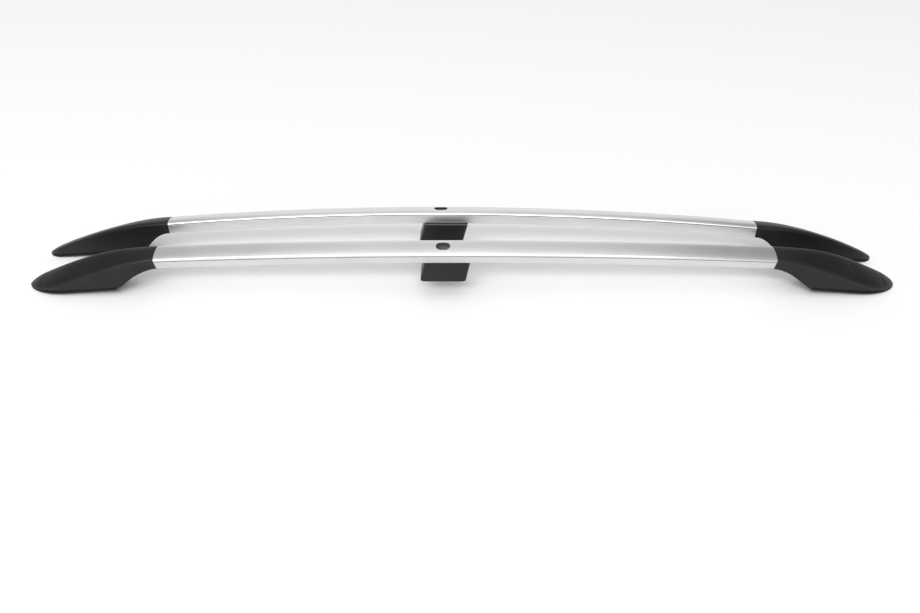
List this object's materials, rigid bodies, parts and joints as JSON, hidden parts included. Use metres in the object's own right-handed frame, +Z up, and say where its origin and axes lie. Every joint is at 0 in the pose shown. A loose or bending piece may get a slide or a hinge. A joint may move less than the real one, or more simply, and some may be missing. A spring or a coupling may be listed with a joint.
{
  "type": "roof side rail pair",
  "caption": "Pair of arched aluminium roof side rails with moulded black feet and raked centre supports, for fixing crossbars to a vehicle roof",
  "frame": {"origin": "centre of the pair's bounding box, at the floor", "axes": "+X along the rails towards the vehicle's rear, +Y across the pair towards its right side, +Z up"},
  "size_m": [1.7076, 0.1908, 0.1044],
  "materials": {
    "satin_aluminium": "satin anodised, drawn along the bar",
    "black_plastic": "fine-grained black moulding",
    "zinc_steel": "zinc plated",
    "brass": "plain turned"
  },
  "bodies": {
    "root": {"left_rail_bar": "satin_aluminium", "left_front_foot": "black_plastic", "left_rear_foot": "black_plastic", "left_front_foot_screws": "zinc_steel", "left_rear_foot_screws": "zinc_steel", "left_front_insert": "brass", "left_rear_insert": "brass", "left_centre_support": "black_plastic", "left_support_screws": "zinc_steel", "right_rail_bar": "satin_aluminium", "right_front_foot": "black_plastic", "right_rear_foot": "black_plastic", "right_front_foot_screws": "zinc_steel", "right_rear_foot_screws": "zinc_steel", "right_front_insert": "brass", "right_rear_insert": "brass", "right_centre_support": "black_plastic", "right_support_screws": "zinc_steel"}
  },
  "joints": []
}
